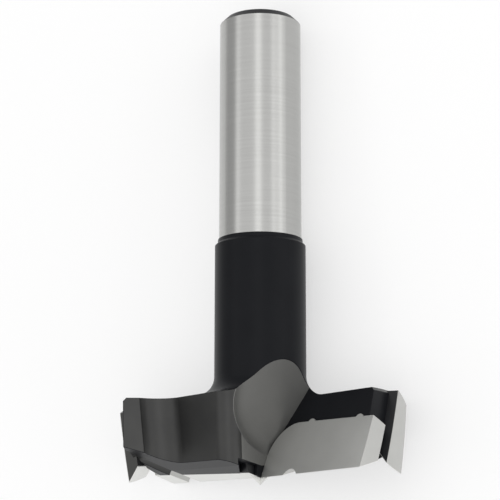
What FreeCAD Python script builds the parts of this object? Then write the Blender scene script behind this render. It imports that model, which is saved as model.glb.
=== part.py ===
import FreeCAD, Part
import os
from math import cos, radians, sin, sqrt, tan

# Boring bit with two carbide cutters, two carbide spurs and a ground shank.
# Millimetres and degrees. It is built upright: the tool axis is Z, the shank is
# at the top and the centre point's tip is the origin. The cutting edges lie
# along X. The bit turns clockwise seen from the shank, so the cutter on the +X
# side leads with -Y. The finished bit is then laid on its side, as it rests.

# Sizes that drive the tool
cutting_diameter = 35.0
overall_length = 57.5
shank_diameter = 10.0
shank_length = 27.25
shank_chamfer = 0.8
flat_depth = 0.8
flat_length = 13.0
flat_bearing = 180.0
screw_hole_diameter = 4.2
screw_hole_depth = 12.0
screw_hole_mouth = 5.4
drill_point_angle = 118.0
collar_step = 0.13
collar_flare = 0.04
collar_length = 0.45
neck_diameter = 11.0
neck_fillet = 2.4
head_top = 10.4
rim_setback = 1.1
head_chamfer = 0.4

# Ground cutting end
point_height = 0.87
point_half_width = 1.35
point_ridge = 1.7
edge_rise = 0.012
clearance = 15.2
heel_relief = 18.0
heel_relief_start = 4.3
web_half = 0.12
gash_rise = 1.36
gash_slope = 7.0
gash_bearing = 50.2
gash_reach = 2.4
gash_web = 0.9

# Carbide cutters
cutter_lean = 22.2
cutter_thickness = 2.6
cutter_root_thickness = 1.4
cutter_height = 6.87
cutter_top_fall = 1.1
cutter_corner = 4.3
cutter_side_shift = 1.2
cutter_side_bearing = -25.0
pip_places = (6.42, 14.85)
pip_radius = 0.7
pip_height = 0.34
groove_radius = 1.55
groove_depth = 0.58
groove_places = (5.38, 13.1)

# Carbide spurs
spur_tip_height = 0.77
spur_tip_bearing = 27.9
spur_bearing = 30.0
spur_lean = 21.0
spur_width = 3.79
spur_length = 8.75
spur_depth = 1.5
spur_bevel = 53.0
spur_edge_rise = 7.4

# Front face of a wing
front_lean = 16.2
front_offset = 1.08

# Sloping floor that runs out into the neck, and the cutter that milled it
floor_height = 5.23
floor_slope = 58.9
floor_bearing = -6.9
mill_radius = 9.0
mill_corner = 2.1
mill_course = -33.3
mill_edge = -1.12
mill_end = -2.1
mill_travel = 30.0

# Inner wall of a gullet
wall_bearing = 19.8
wall_lean = 6.0

# Back of a wing: a flat, a round hollow and the heel behind the spur
back_offset = 7.6
hollow_start = 6.2
hollow_radius = 3.2
heel_bearing = 52.0
heel_step = 0.2
back_lean = 10.0
back_slant = 4.4
nose_radius = 2.0

# Side that it lies on, to start the search for its three resting places
lying_bearing = 120.0
lying_rounds = 8
lying_fineness = 0.01

# Sizes that follow
cutting_radius = cutting_diameter / 2
head_radius = cutting_radius - rim_setback
neck_radius = neck_diameter / 2
shank_radius = shank_diameter / 2
shank_top = overall_length - shank_chamfer
shank_start = shank_top - shank_length
reach = 2 * cutting_diameter


def vec(x, y, z=0.0):
    return FreeCAD.Vector(x, y, z)


axis = vec(0, 0, 1)


def toward(bearing, lift=0.0):
    across = cos(radians(lift))
    b = radians(bearing)
    return vec(across * cos(b), across * sin(b), sin(radians(lift)))


def turned_half(shape):
    other = shape.copy()
    other.rotate(vec(0, 0), axis, 180)
    return other


def block_beyond(point, direction):
    block = Part.makeBox(2 * reach, 2 * reach, reach, vec(-reach, -reach))
    block.Placement = FreeCAD.Placement(point, FreeCAD.Rotation(axis, direction))
    return block


def face_of(points):
    return Part.Face(Part.makePolygon(points + [points[0]]))


def turned_blank():
    neck_end = shank_start - collar_length
    collar_radius = shank_radius + collar_step
    collar_foot = collar_radius + collar_flare
    taper = neck_radius - collar_foot
    fillet_edge = neck_radius + neck_fillet
    dip = neck_fillet * sin(radians(45))
    low = [
        (0, 0),
        (head_radius, 0),
        (head_radius, head_top - head_chamfer),
        (head_radius - head_chamfer, head_top),
        (fillet_edge, head_top),
    ]
    high = [
        (neck_radius, head_top + neck_fillet),
        (neck_radius, neck_end - taper),
        (collar_foot, neck_end),
        (collar_radius, shank_start),
        (shank_radius, shank_start),
        (shank_radius, shank_top),
        (shank_radius - shank_chamfer, overall_length),
        (0, overall_length),
        (0, 0),
    ]
    lower = [vec(r, 0, z) for r, z in low]
    upper = [vec(r, 0, z) for r, z in high]
    middle = vec(fillet_edge - dip, 0, head_top + neck_fillet - dip)
    sweep = Part.Arc(lower[-1], middle, upper[0]).toShape()
    edges = Part.makePolygon(lower).Edges + [sweep] + Part.makePolygon(upper).Edges
    return Part.Face(Part.Wire(edges)).revolve(vec(0, 0), axis, 360)


def screw_hole():
    r = screw_hole_diameter / 2
    mouth = screw_hole_mouth / 2
    bottom = overall_length - screw_hole_depth
    tip = bottom - r / tan(radians(drill_point_angle / 2))
    outline = [
        (0, overall_length),
        (mouth, overall_length),
        (r, overall_length - mouth + r),
        (r, bottom),
        (0, tip),
    ]
    face = face_of([vec(x, 0, z) for x, z in outline])
    return face.revolve(vec(0, 0), axis, 360)


def shank_flat():
    side = toward(flat_bearing)
    beyond = block_beyond(side * (shank_radius - flat_depth), side)
    above = block_beyond(vec(0, 0, overall_length - flat_length), axis)
    return beyond.common(above)


def rake_point(s, w):
    lean = radians(cutter_lean)
    return vec(s, w * sin(lean), point_height + w * cos(lean))


def rake_back():
    lean = radians(cutter_lean)
    return vec(0, cos(lean), -sin(lean))


def cutter_outline():
    fall = tan(radians(cutter_top_fall))
    dip = cutter_corner * (1 - cos(radians(45)))

    def top(s):
        return cutter_height - (s - cutter_corner) * fall

    half = sqrt(pip_radius ** 2 - (pip_radius - pip_height) ** 2)
    side = rake_point(0, cutter_height - cutter_corner)
    corner = rake_point(cutter_corner, cutter_height)
    bend = rake_point(dip, cutter_height - dip)
    edges = [Part.Arc(side, bend, corner).toShape()]
    last = corner
    for place in pip_places:
        start = rake_point(place - half, top(place - half))
        end = rake_point(place + half, top(place + half))
        crown = rake_point(place, top(place) + pip_height)
        edges.append(Part.makeLine(last, start))
        edges.append(Part.Arc(start, crown, end).toShape())
        last = end
    far = cutting_diameter
    rest = [last, rake_point(far, top(far)), rake_point(far, 0), rake_point(0, 0), side]
    return Part.Face(Part.Wire(edges + Part.makePolygon(rest).Edges))


def side_cylinder():
    shift = toward(cutter_side_bearing) * cutter_side_shift
    corner = vec(cutting_radius, 0)
    low = shift - axis * reach
    return Part.makeCylinder((corner - shift).Length, 2 * reach, low)


def under_edge(steps):
    z = point_height
    y = 0.0
    section = [(0, -reach), (0, z)]
    for width, slope in steps:
        y += width
        z += width * tan(radians(slope))
        section.append((y, z))
    section.append((y, -reach))
    drop = reach * edge_rise
    face = face_of([vec(-reach, a, b - drop) for a, b in section])
    return face.extrude(vec(2 * reach, 0, 2 * drop))


def point_quarter():
    tip = vec(0, 0)
    root = vec(0, 0, point_height)
    out = vec(point_half_width, 0, point_height + point_half_width * edge_rise)
    back = vec(0, point_ridge, point_height + point_ridge * tan(radians(clearance)))
    sides = [(tip, out, root), (tip, root, back), (tip, back, out), (root, out, back)]
    faces = [face_of(list(side)) for side in sides]
    return Part.Solid(Part.Shell(faces))


def chip_groove(place):
    slope = toward(90, clearance)
    lift = groove_radius - groove_depth
    start = vec(place, 0, point_height + place * edge_rise - lift / cos(radians(clearance)))
    return Part.makeCylinder(groove_radius, 2 * reach, start - slope * reach, slope)


def behind_cutter():
    back = rake_back()
    root = rake_point(0, 0) + back * cutter_root_thickness
    end = rake_point(cutting_radius, 0) + back * cutter_thickness
    up = rake_point(0, cutter_height) - rake_point(0, 0)
    return block_beyond(root, up.cross(end - root))


def cutter(place):
    plate = cutter_outline().extrude(rake_back() * cutter_thickness)
    plate = plate.common(side_cylinder()).cut(behind_cutter())
    plate = plate.cut(under_edge([(reach, clearance)]))
    plate = plate.fuse(point_quarter()).removeSplitter()
    return plate.cut(chip_groove(place)).Solids[0]


def spur():
    radial = toward(spur_bearing)
    along = toward(spur_bearing + 90)
    lean = radians(spur_lean)
    up = along * sin(lean) + axis * cos(lean)
    forward = axis * sin(lean) - along * cos(lean)
    tip = toward(spur_tip_bearing) * cutting_radius + axis * spur_tip_height
    inner = -radial * spur_depth
    outer = radial * spur_depth
    top = up * spur_length
    low = -up * spur_width
    ring = [tip + inner + low, tip + outer + low, tip + outer + top, tip + inner + top]
    block = face_of(ring).extrude(forward * spur_width)
    block = block.common(Part.makeCylinder(cutting_radius, reach))
    slope = radians(spur_edge_rise)
    edge = toward(spur_tip_bearing - 90) * cos(slope) + axis * sin(slope)
    bevel = up * sin(radians(spur_bevel)) - radial * cos(radians(spur_bevel))
    below = edge.cross(bevel)
    below = below * (-1 if below.z > 0 else 1)
    return block.cut(block_beyond(tip, below)).Solids[0]


def front_space():
    point = vec(0, front_offset, point_height)
    return block_beyond(point, toward(-90, front_lean))


def floor_frame():
    out = toward(floor_bearing, floor_slope - 90)
    level = toward(floor_bearing + 90)
    steep = toward(floor_bearing, floor_slope)
    return vec(0, 0, floor_height), level, steep, out


def milled_run():
    origin, level, steep, out = floor_frame()
    course = level * cos(radians(mill_course)) + steep * sin(radians(mill_course))
    inward = out.cross(course)
    side = inward * mill_radius
    end = origin + inward * mill_edge + side + course * mill_end
    start = end + course * mill_travel
    turn = Part.Arc(end - side, end - course * mill_radius, end + side).toShape()
    rest = Part.makePolygon([end + side, start + side, start - side, end - side])
    run = Part.Face(Part.Wire([turn] + rest.Edges)).extrude(out * reach)
    rim = [e for e in run.Edges if abs((e.CenterOfMass - origin).dot(out)) < mill_corner / 2]
    return run.makeFillet(mill_corner, rim)


def wing_back():
    flat = -back_offset
    hollow = vec(-hollow_start, flat - hollow_radius)
    mid = toward(135) * hollow_radius
    crease = vec(hollow.x - hollow_radius, hollow.y - heel_step)
    heel = crease - toward(heel_bearing) * reach
    bend = Part.Arc(hollow + vec(0, hollow_radius), hollow + mid, hollow - vec(hollow_radius, 0))
    rest = [
        hollow - vec(hollow_radius, 0),
        crease,
        heel,
        vec(reach, heel.y),
        vec(reach, flat),
        hollow + vec(0, hollow_radius),
    ]
    face = Part.Face(Part.Wire([bend.toShape()] + Part.makePolygon(rest).Edges))
    rise = vec(tan(radians(back_slant)), -tan(radians(back_lean)), 1)
    face.translate(axis * head_top - rise * cutting_diameter)
    return face.extrude(rise * (cutting_diameter + 2 * neck_fillet))


def nose_corner(foot, wall):
    flat = toward(-90, -back_lean)
    top = vec(0, -back_offset, head_top) - foot
    edge = foot + vec(-(wall.y * top.y + wall.z * top.z) / wall.x, top.y, top.z)
    along = wall.cross(flat).normalize()
    centre = edge - (flat + wall) * (nose_radius / (1 + flat.dot(wall)))
    kite = [edge, centre + flat * nose_radius, centre, centre + wall * nose_radius]
    start = along * -reach
    corner = face_of([p + start for p in kite]).extrude(along * 2 * reach)
    return corner.cut(Part.makeCylinder(nose_radius, 2 * reach, centre + start, along))


def gullet():
    front = front_space()
    foot = vec(web_half, 0, point_height)
    wall = toward(wall_bearing, -wall_lean)
    floor = floor_frame()
    room = block_beyond(foot, wall).common(block_beyond(floor[0], floor[-1])).common(front)
    return room.fuse([milled_run().common(front), wing_back(), nose_corner(foot, wall)])


def point_gash():
    roof = block_beyond(vec(0, 0, point_height + gash_rise), toward(-90, gash_slope - 90))
    side = block_beyond(toward(gash_bearing) * -gash_reach, toward(gash_bearing))
    return roof.common(side).common(block_beyond(vec(0, -gash_web), vec(0, -1)))


def body(inserts):
    steel = turned_blank()
    steel = steel.cut([screw_hole(), shank_flat()])
    space = gullet()
    steel = steel.cut([space, turned_half(space)])
    under = under_edge([(heel_relief_start, clearance), (reach, heel_relief)])
    gash = point_gash()
    steel = steel.cut([under, turned_half(under), gash, turned_half(gash)])
    grooves = [chip_groove(groove_places[0]), turned_half(chip_groove(groove_places[1]))]
    return steel.cut(inserts + grooves)


def lying_down(steel, plate):
    head = [p for p in steel.tessellate(lying_fineness)[0] if p.z < shank_start]
    tips = plate.tessellate(lying_fineness)[0]
    down = toward(lying_bearing)
    for _ in range(lying_rounds):
        crest = max(head, key=down.dot)
        corner = max(tips, key=down.dot)
        rim = axis * shank_top + vec(down.x, down.y).normalize() * shank_radius
        down = (rim - corner).cross(crest - corner).normalize()
    return down


def lying_pose(parts):
    down = lying_down(parts["body"], parts["cutter_b"])
    along = (axis - down * down.dot(axis)).normalize()
    turn = FreeCAD.Rotation(along.cross(-down), along, -down, "ZYX").inverted()
    laid = Part.Compound([laid_shape(s, FreeCAD.Placement(vec(0, 0), turn)) for s in parts.values()])
    box = laid.optimalBoundingBox(False)
    foot = vec(box.Center.x, box.Center.y, box.ZMin)
    return FreeCAD.Placement(-foot, turn)


def laid_shape(shape, pose):
    return shape.transformed(pose.toMatrix())


def main():
    first = cutter(groove_places[0])
    second = turned_half(cutter(groove_places[1]))
    score = spur()
    parts = {
        "cutter_a": first,
        "cutter_b": second,
        "spur_a": score,
        "spur_b": turned_half(score),
    }
    parts["body"] = body(list(parts.values()))
    pose = lying_pose(parts)
    print("laid down by", pose.Matrix)
    os.makedirs("parts", exist_ok=True)
    for name, shape in parts.items():
        laid = laid_shape(shape, pose)
        laid.exportStep("parts/" + name + ".step")
        print(name, laid.isValid(), len(laid.Solids), round(laid.Volume, 1), laid.BoundBox)


main()
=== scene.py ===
# %% [markdown]
# # A boring bit for hinge holes
# The solids of the bit come finished from the frame: a steel body, two carbide
# cutters and two carbide spurs, lying on a table as the bit comes to rest. Here
# they get their surfaces, a floor, soft studio light and a camera.

# %% Load the solids
from math import cos, pi, radians, sin

import bpy
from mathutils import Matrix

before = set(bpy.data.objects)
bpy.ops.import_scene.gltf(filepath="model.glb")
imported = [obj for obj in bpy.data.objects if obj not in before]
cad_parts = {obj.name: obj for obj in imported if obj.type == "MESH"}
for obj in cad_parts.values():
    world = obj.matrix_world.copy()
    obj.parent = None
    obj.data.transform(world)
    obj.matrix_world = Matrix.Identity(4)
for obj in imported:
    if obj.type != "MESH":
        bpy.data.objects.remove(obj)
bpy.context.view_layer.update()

print("solids:", ", ".join(sorted(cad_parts)))

# %% [markdown]
# ## Colours
# A colour is written as six hex digits, as it would be picked from a picture.
# The shader works with light, which isn't spread like those digits, so one
# function undoes the screen's curve.


# %% Colours from hex digits
def linear(hex_digits):
    """Each channel is divided by 12.92 near black, and otherwise raised to 2.4."""
    channels = [int(hex_digits[i:i + 2], 16) / 255 for i in (0, 2, 4)]
    curve = [c / 12.92 if c <= 0.04045 else ((c + 0.055) / 1.055) ** 2.4 for c in channels]
    return (*curve, 1.0)


print("mid grey 808080 is", linear("808080"))

# %% [markdown]
# ## One helper for nodes
# A material is a small machine of nodes. This helper adds one node, sets its
# options and fills its sockets: a number or colour is set on the socket, and
# an output of another node is wired to it. A socket is called by its name, or
# by its number from the top where several have the same name.


# %% Add a node
def add(tree, kind, sockets=(), **options):
    """Make a node of that kind, and give each named or numbered socket its value or its wire."""
    made = tree.nodes.new("ShaderNode" + kind)
    for name, value in options.items():
        setattr(made, name, value)
    for name, value in dict(sockets).items():
        if isinstance(value, bpy.types.NodeSocket):
            tree.links.new(value, made.inputs[name])
        else:
            made.inputs[name].default_value = value
    return made


def new_material(name):
    """A material with no nodes, and its tree."""
    made = bpy.data.materials.new(name)
    made.use_nodes = True
    made.node_tree.nodes.clear()
    return made, made.node_tree


mm = 0.001
print("one millimetre is", mm, "metres")

# %% [markdown]
# ## Where a point is on the tool
# The bit lies on its side, but its maker thinks of it upright: how far along
# the axis a point is, and how far from the axis. A Mapping node turns the
# object's coordinates into that upright frame, in which Z is the tool's axis,
# X runs along the cutting edges and the centre point's tip is the origin. The
# finishes then follow the tool's own sizes, however it lies.

# %% Upright coordinates
upright_turn = (radians(93.0733), 0.0, radians(27.4678))
upright_shift = (-2.98703 * mm, 5.74592 * mm, 29.21042 * mm)


def upright(tree):
    """Object coordinates, turned and shifted to the tool's own frame, in metres."""
    where = add(tree, "TexCoord").outputs["Object"]
    turned = add(tree, "Mapping", {"Vector": where, "Rotation": upright_turn, "Location": upright_shift})
    return turned.outputs[0]


print("the tool's axis is turned by", [round(angle, 4) for angle in upright_turn])

# %% [markdown]
# ## Camera
# The picture was taken from above, 24 degrees off the vertical, with a long
# lens. The shank points to the top of the frame. A long lens from far away
# keeps the shank's two sides parallel, where a short one would swell the head.

# %% Camera
camera = bpy.data.objects.new("camera", bpy.data.cameras.new("camera"))
camera.location = (81.328 * mm, -31.975 * mm, 187.473 * mm)
camera.rotation_euler = (radians(8.4151), radians(24.3948), radians(-1.3952))
camera.data.lens = 119.41
camera.data.sensor_width = 36.0
camera.data.shift_x = -0.0206
camera.data.clip_start = 0.01
bpy.context.scene.collection.objects.link(camera)
bpy.context.scene.camera = camera
print("camera stands", round(camera.location.length, 4), "metres from the middle of the bit")

# %% [markdown]
# ## Floor
# The bit lies on a plain white sheet. It is a flat face far larger than the
# view, so no edge shows. Half of what the camera and the metal see of it is its
# own even white, and the other half is the lit paper, which keeps the shadow.

# %% Floor
half_floor = 3.0
paper_roughness = 0.9
own_white = 0.5
corners = [(x * half_floor, y * half_floor, 0) for x, y in ((-1, -1), (1, -1), (1, 1), (-1, 1))]
floor_mesh = bpy.data.meshes.new("floor")
floor_mesh.from_pydata(corners, [], [(0, 1, 2, 3)])
floor = bpy.data.objects.new("floor", floor_mesh)
bpy.context.scene.collection.objects.link(floor)
paper, tree = new_material("white_paper")
skin = add(tree, "BsdfPrincipled", {"Base Color": linear("ffffff"), "Roughness": paper_roughness})
glow = add(tree, "Emission", {"Color": linear("ffffff"), "Strength": 1.0})
rays = add(tree, "LightPath").outputs
seen = rays["Is Camera Ray"]
for kind in ("Is Glossy Ray", "Is Transmission Ray"):
    seen = add(tree, "Math", {0: seen, 1: rays[kind]}, operation="MAXIMUM").outputs[0]
share = add(tree, "Math", {0: seen, 1: own_white}, operation="MULTIPLY").outputs[0]
sheet = add(tree, "MixShader", {0: share, 1: skin.outputs[0], 2: glow.outputs[0]})
add(tree, "OutputMaterial", {"Surface": sheet.outputs[0]})
floor_mesh.materials.append(paper)
print("floor is", 2 * half_floor, "metres wide")

# %% [markdown]
# ## Light
# Ground steel and carbide show what stands around them more than their own
# colour, so the light is an even room with a few large soft lamps. A lamp is
# placed by its angle from straight overhead towards the right, and its
# brightness is what a mirror would show. A wide lamp overhead gives the broad
# middle tone of the shank, a narrow one beside the camera and two low on the
# right give its two bright lines, and a faint one on the left lifts the edge of
# the dark side, which stays at the room's own level.

# %% Lamps and room
lamp_length = 1.6
room_brightness = 0.58


def soft_lamp(name, angle, distance, width, brightness):
    """A rectangle at that angle and distance. Its power is brightness times pi times its area."""
    lamp = bpy.data.lights.new(name, "AREA")
    lamp.shape = "RECTANGLE"
    lamp.size, lamp.size_y = lamp_length, width
    lamp.energy = brightness * pi * lamp_length * width
    made = bpy.data.objects.new(name, lamp)
    made.location = (sin(radians(angle)) * distance, 0.0, cos(radians(angle)) * distance)
    made.rotation_euler = made.location.to_track_quat("Z", "Y").to_euler()
    bpy.context.scene.collection.objects.link(made)
    return name


lamps = [
    soft_lamp("overhead_lamp", angle=8.5, distance=1.0, width=2.96, brightness=0.50),
    soft_lamp("camera_side_lamp", angle=19.0, distance=0.95, width=0.28, brightness=0.70),
    soft_lamp("right_lamp", angle=74.0, distance=1.1, width=0.63, brightness=0.75),
    soft_lamp("low_right_lamp", angle=85.0, distance=1.3, width=0.20, brightness=0.60),
    soft_lamp("left_lamp", angle=-43.0, distance=1.1, width=0.28, brightness=0.45),
]
world = bpy.data.worlds.new("room")
world.use_nodes = True
world.node_tree.nodes["Background"].inputs["Color"].default_value = linear("ffffff")
world.node_tree.nodes["Background"].inputs["Strength"].default_value = room_brightness
bpy.context.scene.world = world
bpy.context.scene.view_settings.view_transform = "Standard"
print("lamps:", ", ".join(lamps))

# %% [markdown]
# ## Which face a point is on
# The real bit has several finishes on one piece of steel, and each solid here
# has one material, so the material has to know which face a point is on. A
# painted map would need an unwrapped mesh, but most faces at which a finish
# ends are flat, and a plane needs only the point's place. The bit is the same
# after half a turn, so a point behind the middle is first turned to the front
# wing. There each flat face is one plane: a direction, and the distance along
# it in millimetres. A point is below the plane when its own distance along the
# direction is the smaller one. Half a skin more or less keeps the face clear of
# the plane.

# %% Planes of a wing
half_skin = 0.05
wing_planes = {
    "clearance": ((-0.012, -0.2717, 1.0), 0.87 + half_skin),
    "heel": ((-0.012, -0.3249, 1.0), 0.641 + half_skin),
    "gash_roof": ((0.0, -0.1228, 1.0), 2.23 + half_skin),
    "gash_side": ((0.6401, 0.7683, 0.0), 2.4 + half_skin),
    "front_skin": ((0.0, 0.9603, -0.2790), 0.794 + half_skin),
    "front_room": ((0.0, 0.9603, -0.2790), 0.794 - half_skin),
    "inner_wall": ((0.9357, 0.3369, 0.1045), -0.021 + half_skin),
    "cutter_rake": ((0.0, 0.9259, -0.3778), -0.329 + half_skin),
    "middle": ((-1.0, 0.0, 0.0), 0.0),
    "spur_back": ((0.4668, -0.8085, 0.3584), 0.875 + half_skin),
    "spur_bevel": ((0.6557, 0.4376, 0.6153), 14.198 + half_skin),
}


def wing_masks(tree, place, names):
    """Times the sign of Y a point is on the front wing. A mask is one below its plane, or else zero."""
    across = add(tree, "SeparateXYZ", {0: place}).outputs[1]
    side = add(tree, "Math", {0: across}, operation="SIGN").outputs[0]
    fold = add(tree, "CombineXYZ", {0: side, 1: side, 2: 1.0}).outputs[0]
    wing = add(tree, "VectorMath", {0: place, 1: fold}, operation="MULTIPLY").outputs[0]
    below = {}
    for name in names:
        direction, limit = wing_planes[name]
        along = add(tree, "VectorMath", {0: wing, 1: direction}, operation="DOT_PRODUCT").outputs["Value"]
        below[name] = add(tree, "Math", {0: along, 1: limit * mm}, operation="LESS_THAN").outputs[0]
    return below


def height_and_radius(tree, place):
    """Height is Z, and radius is the length of X and Y together."""
    parts = add(tree, "SeparateXYZ", {0: place}).outputs
    level = add(tree, "CombineXYZ", {0: parts[0], 1: parts[1]}).outputs[0]
    return parts[2], add(tree, "VectorMath", {0: level}, operation="LENGTH").outputs["Value"]


print("faces told apart:", ", ".join(wing_planes))

# %% [markdown]
# ## Inside the turned outline
# The blank is turned on a lathe: a neck, a quarter-round fillet and a drum for
# the head. What lies inside that outline was cut open later by the mill. So the
# outline's radius is worked out at each height, and a point is inside when its
# own radius is the smaller one.

# %% Turned outline
neck_radius = 5.5
neck_fillet = 2.4
drum_top = 10.4
drum_edge = 10.36
drum_radius = 16.4


def turned_inside(tree, height, radius):
    """One inside the outline by more than half a skin.

    The fall is the share of the way down the fillet. The outline there is the neck's
    radius, plus the fillet's radius times one less the root of one less the fall squared.
    """
    start = (drum_top + neck_fillet) * mm
    fall = add(tree, "MapRange", {"Value": height, "From Min": start, "From Max": drum_top * mm}).outputs[0]
    square = add(tree, "Math", {0: fall, 1: fall}, operation="MULTIPLY").outputs[0]
    rest = add(tree, "Math", {0: 1.0, 1: square}, operation="SUBTRACT").outputs[0]
    root = add(tree, "Math", {0: rest}, operation="SQRT").outputs[0]
    sweep = add(tree, "MapRange", {
        "Value": root, "From Min": 1.0, "From Max": 0.0,
        "To Min": neck_radius * mm, "To Max": (neck_radius + neck_fillet) * mm,
    }).outputs[0]
    drum = add(tree, "Math", {0: height, 1: drum_edge * mm}, operation="LESS_THAN").outputs[0]
    outline = add(tree, "MapRange", {"Value": drum, "To Min": sweep, "To Max": drum_radius * mm}).outputs[0]
    depth = add(tree, "Math", {0: outline, 1: radius}, operation="SUBTRACT").outputs[0]
    return add(tree, "Math", {0: depth, 1: half_skin * mm}, operation="GREATER_THAN").outputs[0]


print("the drum ends", round(drum_radius - neck_radius, 1), "mm outside the neck")

# %% [markdown]
# ## The mill's run
# The chip space is milled by a round-cornered cutter that enters from the neck
# and stops near the middle of the wing. Its run leaves a wall with a round end
# and a round corner at its foot. Only what lies in that run gets the paler tone
# of the chip space, which is painted light: the same milled steel as the backs,
# drawn lighter for the light it catches. So the mask repeats the cutter's own
# shape and path, once for each wing. A direction of the run has the distance
# along it at its side, as a plane above has.

# %% Run of the mill
mill_radius = 9.0
mill_corner = 2.1
mill_flat = mill_radius - mill_corner
mill_course = ((0.4947, 0.4930, 0.7158), 11.62)
mill_inward = ((-0.1810, 0.8640, -0.4700), -4.56)
mill_rise = ((0.8501, -0.1029, -0.5165), -0.601)
mill_front = ((0.0, 0.9603, -0.2790), 0.79)


def milled_run(tree, place, half_turn):
    """One where sideways and down together are shorter than the corner's radius, in front of the wing.

    Sideways is the distance outside the path of the cutter's middle, less the flat
    part of its radius. Down is the depth under the middle of its round corner.
    """
    signs = (half_turn, half_turn, 1.0)
    turned = add(tree, "VectorMath", {0: place, 1: signs}, operation="MULTIPLY").outputs[0]
    short = []
    for direction, start in (mill_course, mill_inward, mill_rise):
        along = add(tree, "VectorMath", {0: turned, 1: direction}, operation="DOT_PRODUCT").outputs["Value"]
        past = add(tree, "Math", {0: along, 1: start * mm}, operation="SUBTRACT").outputs[0]
        short.append(add(tree, "Math", {0: past, 1: 0.0}, operation="MINIMUM").outputs[0])
    away = add(tree, "CombineXYZ", {0: short[0], 1: short[1]}).outputs[0]
    far = add(tree, "VectorMath", {0: away}, operation="LENGTH").outputs["Value"]
    beyond = add(tree, "Math", {0: far, 1: mill_flat * mm}, operation="SUBTRACT").outputs[0]
    sideways = add(tree, "Math", {0: beyond, 1: 0.0}, operation="MAXIMUM").outputs[0]
    corner = add(tree, "CombineXYZ", {0: sideways, 1: short[2]}).outputs[0]
    bend = add(tree, "VectorMath", {0: corner}, operation="LENGTH").outputs["Value"]
    reach = (mill_corner + half_skin) * mm
    inside = add(tree, "Math", {0: bend, 1: reach}, operation="LESS_THAN").outputs[0]
    facing, limit = mill_front
    front = add(tree, "VectorMath", {0: turned, 1: facing}, operation="DOT_PRODUCT").outputs["Value"]
    ahead = add(tree, "Math", {0: front, 1: limit * mm}, operation="LESS_THAN").outputs[0]
    return add(tree, "Math", {0: inside, 1: ahead}, operation="MULTIPLY").outputs[0]


print("the mill is", 2 * mill_radius, "mm across, with corners of", mill_corner, "mm")

# %% [markdown]
# ## Steel body
# The body is one piece of hardened steel with several finishes. It is turned
# and then blackened in a hot salt bath, which leaves a thin dark skin with a
# low sheen. The shank is ground after that, so its cylinder is bare and bright.
# The chip spaces and the backs of the wings are milled and stay a dull grey.
# The chip spaces are painted lighter than the backs, as painted light on the same
# milled steel. What lies under the wings, in the gash beside the point and in
# front of the cutters keeps the black skin. Two masks multiplied leave what both
# have, and the greater of two leaves what either has.

# %% Where the steel is ground or milled
ground_radius = 4.96
ground_foot = 29.46
ground_end = 56.69
milled_end = 24.0
steel_planes = ["clearance", "heel", "gash_roof", "gash_side"]
steel_planes += ["front_skin", "front_room", "inner_wall", "middle"]


def ground_mask(tree, height, radius):
    """One outside the bare radius, between the shank's foot and the chamfer at its end."""
    outside = add(tree, "Math", {0: radius, 1: ground_radius * mm}, operation="GREATER_THAN").outputs[0]
    foot = add(tree, "Math", {0: height, 1: ground_foot * mm}, operation="GREATER_THAN").outputs[0]
    end = add(tree, "Math", {0: height, 1: ground_end * mm}, operation="LESS_THAN").outputs[0]
    shank = add(tree, "Math", {0: foot, 1: end}, operation="MULTIPLY").outputs[0]
    return add(tree, "Math", {0: outside, 1: shank}, operation="MULTIPLY").outputs[0]


def black_mask(tree, below):
    """One under the wings, in the gash and on the seat that carries the cutter."""
    roof, side = below["gash_roof"], below["gash_side"]
    gash = add(tree, "Math", {0: roof, 1: side}, operation="MULTIPLY").outputs[0]
    seat, room = below["front_skin"], below["front_room"]
    skin = add(tree, "Math", {0: seat, 1: room}, operation="SUBTRACT").outputs[0]
    dark = add(tree, "Math", {0: skin, 1: below["middle"]}, operation="MULTIPLY").outputs[0]
    for mask in (below["clearance"], below["heel"], gash):
        dark = add(tree, "Math", {0: dark, 1: mask}, operation="MAXIMUM").outputs[0]
    return dark


def steel_masks(tree, place):
    """Milled is inside the outline, below the shank and not black. Chip is milled in front of the wings, and
    gets the painted lighter tone.
    """
    below = wing_masks(tree, place, steel_planes)
    height, radius = height_and_radius(tree, place)
    bare = add(tree, "Math", {0: 1.0, 1: black_mask(tree, below)}, operation="SUBTRACT").outputs[0]
    milled = add(tree, "Math", {0: height, 1: milled_end * mm}, operation="LESS_THAN").outputs[0]
    for mask in (turned_inside(tree, height, radius), bare):
        milled = add(tree, "Math", {0: milled, 1: mask}, operation="MULTIPLY").outputs[0]
    room = add(tree, "Math", {0: below["front_room"], 1: below["middle"]}, operation="MULTIPLY").outputs[0]
    for mask in (milled_run(tree, place, 1.0), milled_run(tree, place, -1.0), below["inner_wall"]):
        room = add(tree, "Math", {0: room, 1: mask}, operation="MAXIMUM").outputs[0]
    # This mask places the chip space and also carries its painted light, a lighter tone on the same milled
    # steel.
    lit_chip = add(tree, "Math", {0: milled, 1: room}, operation="MULTIPLY").outputs[0]
    return {"back": milled, "lit_chip": lit_chip, "ground": ground_mask(tree, height, radius)}


print("the shank is ground over", round(ground_end - ground_foot, 2), "mm")

# %% [markdown]
# The finishes are laid over the black skin by their masks, as the maker lays
# them over it by milling and grinding. Each runs from a darker to a paler tone.

# %% Tones of the steel
bath_black = "141518"
steel_tones = {
    "black": (bath_black, "1a1b1e"),
    "back": ("414141", "4b4b4a"),
    # The chip space's paler tone is painted light: the same milled steel as the backs, lighter for the light
    # it catches.
    "lit_chip": ("737371", "7d7d7b"),
    "ground": ("a8a8a6", "b6b6b4"),
}


def steel_colour(tree, masks, cloud, wheel):
    """Black, and over it each finish where its mask is one. The wheel's rings vary only the ground tone."""
    tones = {}
    for finish, (dark, pale) in steel_tones.items():
        pattern = wheel if finish == "ground" else cloud
        tones[finish] = add(tree, "MixRGB", {0: pattern, 1: linear(dark), 2: linear(pale)}).outputs[0]
    colour = tones["black"]
    for finish, mask in masks.items():
        colour = add(tree, "MixRGB", {0: mask, 1: colour, 2: tones[finish]}).outputs[0]
    return colour


print("tones of the steel:", steel_tones)

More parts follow.
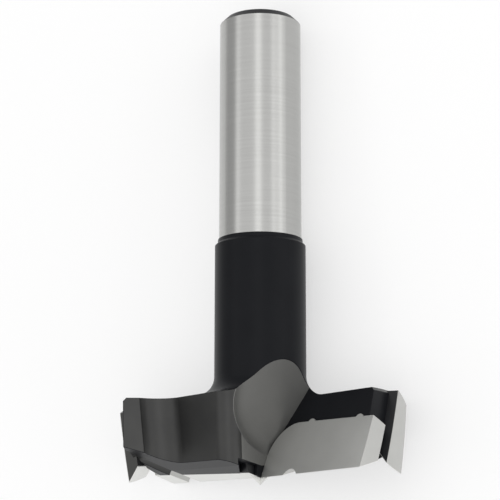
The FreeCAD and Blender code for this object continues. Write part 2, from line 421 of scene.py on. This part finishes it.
# %% [markdown]
# The ground cylinder has fine rings round it from the grinding wheel, about
# 0.15 mm wide where they show. The milled faces are dull, with a faint mottle,
# and the black skin has a very fine grain from the bath. A small rounding of
# the edges catches the light as the broken edges of a real tool do. The black
# skin is an oxide and no metal, and the chip space is half way between the two.

# %% Blackened, ground and milled steel
ring_width = 0.15
bath_grain = 0.12
mottle = 3.0
ring_stretch = (0.02, 0.02, 1.0)
black_roughness = 0.36
milled_roughness = 0.42
ground_roughness = 0.26
chip_metal = 0.5
oxide_shine = 0.08
broken_edge = 0.10
steel_relief = 0.01


def steel(name):
    """Stretched noise makes the rings. Noise of a size has one over that size as its scale."""
    made, tree = new_material(name)
    place = upright(tree)
    masks = steel_masks(tree, place)
    rings = add(tree, "Mapping", {"Vector": place, "Scale": ring_stretch}).outputs[0]
    wheel = add(tree, "TexNoise", {"Vector": rings, "Scale": 1 / (ring_width * mm), "Detail": 3.0}).outputs[0]
    grain = add(tree, "TexNoise", {"Vector": place, "Scale": 1 / (bath_grain * mm), "Detail": 4.0}).outputs[0]
    cloud = add(tree, "TexNoise", {"Vector": place, "Scale": 1 / (mottle * mm), "Detail": 3.0}).outputs[0]
    back, lit_chip, ground = masks["back"], masks["lit_chip"], masks["ground"]
    rough = black_roughness
    for mask, level in ((back, milled_roughness), (ground, ground_roughness)):
        rough = add(tree, "MapRange", {"Value": mask, "To Min": rough, "To Max": level}).outputs[0]
    milled = add(tree, "MapRange", {"Value": lit_chip, "To Min": back, "To Max": chip_metal}).outputs[0]
    metal = add(tree, "Math", {0: ground, 1: milled}, operation="MAXIMUM").outputs[0]
    relief = add(tree, "MixRGB", {0: ground, 1: grain, 2: wheel}).outputs[0]
    edge = add(tree, "Bevel", {"Radius": broken_edge * mm}, samples=6).outputs[0]
    bump = add(tree, "Bump", {
        "Height": relief, "Strength": 0.10, "Distance": steel_relief * mm, "Normal": edge,
    }).outputs[0]
    skin = add(tree, "BsdfPrincipled", {
        "Base Color": steel_colour(tree, masks, cloud, wheel), "Roughness": rough, "Metallic": metal,
        "Specular IOR Level": oxide_shine, "Normal": bump,
    })
    add(tree, "OutputMaterial", {"Surface": skin.outputs[0]})
    return made


blackened = steel("blackened_ground_and_milled_steel")
print("made", blackened.name)

# %% [markdown]
# ## Carbide
# Cutters and spurs are sintered tungsten carbide, ground with a fine diamond
# wheel. It is a grey metal, a little warmer than steel, with fine straight
# grinding lines. The clearance under the edges is ground last and finest. It
# and the spurs' bevels get a paler colour than the rest of the carbide: a
# painted highlight for the light these faces catch. In the gash behind its rake
# face a cutter has the black of the bath. So have the sides of the spurs, and
# their backs were milled over together with the wing's. Planes tell these faces
# apart, as on the steel.

# %% Finishes on the carbide
milled_over = "4e4e4d"
# A paler carbide colour: painted highlight on the clearance faces and the spurs' bevels.
painted_lit_pale = "e4e4e1"
carbide_metal = 0.6
rim_radius = 17.45


def cutter_finish(tree, place, tone):
    """The ground tone, black in the gash behind the rake face, and a painted highlight, palest, below the
    clearance plane.
    """
    below = wing_masks(tree, place, ["gash_roof", "gash_side", "cutter_rake", "clearance"])
    gash = add(tree, "Math", {0: 1.0, 1: below["cutter_rake"]}, operation="SUBTRACT").outputs[0]
    for mask in (below["gash_roof"], below["gash_side"]):
        gash = add(tree, "Math", {0: gash, 1: mask}, operation="MULTIPLY").outputs[0]
    colour = add(tree, "MixRGB", {0: gash, 1: tone, 2: linear(bath_black)}).outputs[0]
    # Below the clearance plane the pale colour is a painted highlight.
    colour = add(tree, "MixRGB", {0: below["clearance"], 1: colour, 2: linear(painted_lit_pale)}).outputs[0]
    metal = add(tree, "MapRange", {"Value": gash, "To Min": carbide_metal, "To Max": 0.0}).outputs[0]
    return colour, metal


def spur_finish(tree, place, tone):
    """Bare on the rim and the bevel, which gets a painted highlight, palest. The back is milled over, and the
    sides are black.
    """
    below = wing_masks(tree, place, ["spur_back", "spur_bevel"])
    back, bevel = below["spur_back"], below["spur_bevel"]
    radius = height_and_radius(tree, place)[1]
    rim = add(tree, "Math", {0: radius, 1: rim_radius * mm}, operation="GREATER_THAN").outputs[0]
    bare = add(tree, "Math", {0: rim, 1: bevel}, operation="MAXIMUM").outputs[0]
    side = add(tree, "MixRGB", {0: back, 1: linear(bath_black), 2: linear(milled_over)}).outputs[0]
    colour = add(tree, "MixRGB", {0: bare, 1: side, 2: tone}).outputs[0]
    # The bevel's pale colour is a painted highlight.
    colour = add(tree, "MixRGB", {0: bevel, 1: colour, 2: linear(painted_lit_pale)}).outputs[0]
    metal = add(tree, "MapRange", {"Value": bare, "To Min": back, "To Max": carbide_metal}).outputs[0]
    return colour, metal


print("the spurs are bare outside a radius of", rim_radius, "mm")

# %% [markdown]
# Both carbides share the wheel's lines, which run along the cutting edges and
# are about 0.08 mm wide, and differ only in which of their faces are bare.

# %% Ground carbide
line_width = 0.08
line_stretch = (0.05, 1.0, 1.0)
cloud_size = 2.0
line_share = 0.35
carbide_tones = ("b4b4b1", "c0c0bd")
carbide_roughness = 0.36
honed_edge = 0.06
carbide_relief = 0.006


def carbide(name, finish):
    """The tone is about two parts of cloud to one of lines. The finish says where it is bare."""
    made, tree = new_material(name)
    place = upright(tree)
    lines = add(tree, "Mapping", {"Vector": place, "Scale": line_stretch}).outputs[0]
    wheel = add(tree, "TexNoise", {"Vector": lines, "Scale": 1 / (line_width * mm), "Detail": 3.0}).outputs[0]
    cloud = add(tree, "TexNoise", {"Vector": place, "Scale": 1 / (cloud_size * mm), "Detail": 2.0}).outputs[0]
    blend = add(tree, "MixRGB", {0: line_share, 1: cloud, 2: wheel}).outputs[0]
    dark, pale = carbide_tones
    tone = add(tree, "MixRGB", {0: blend, 1: linear(dark), 2: linear(pale)}).outputs[0]
    colour, metal = finish(tree, place, tone)
    edge = add(tree, "Bevel", {"Radius": honed_edge * mm}, samples=6).outputs[0]
    bump = add(tree, "Bump", {
        "Height": wheel, "Strength": 0.12, "Distance": carbide_relief * mm, "Normal": edge,
    }).outputs[0]
    skin = add(tree, "BsdfPrincipled", {
        "Base Color": colour, "Roughness": carbide_roughness, "Metallic": metal, "Normal": bump,
    })
    add(tree, "OutputMaterial", {"Surface": skin.outputs[0]})
    return made


cutter_carbide = carbide("ground_tungsten_carbide", cutter_finish)
spur_carbide = carbide("ground_and_blackened_tungsten_carbide", spur_finish)
print("made", cutter_carbide.name, "and", spur_carbide.name)

# %% [markdown]
# ## Give each solid its finish
# A solid comes with slots for its material, and its mesh is left alone. Both
# cutters share one carbide and both spurs the other, because the planes above
# serve the back wing as well as the front one.

# %% Finishes on the solids
finishes = {
    "body": blackened,
    "cutter_a": cutter_carbide,
    "cutter_b": cutter_carbide,
    "spur_a": spur_carbide,
    "spur_b": spur_carbide,
}
for node, finish in finishes.items():
    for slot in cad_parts[node].material_slots:
        slot.material = finish
    print(node, "has", finish.name)
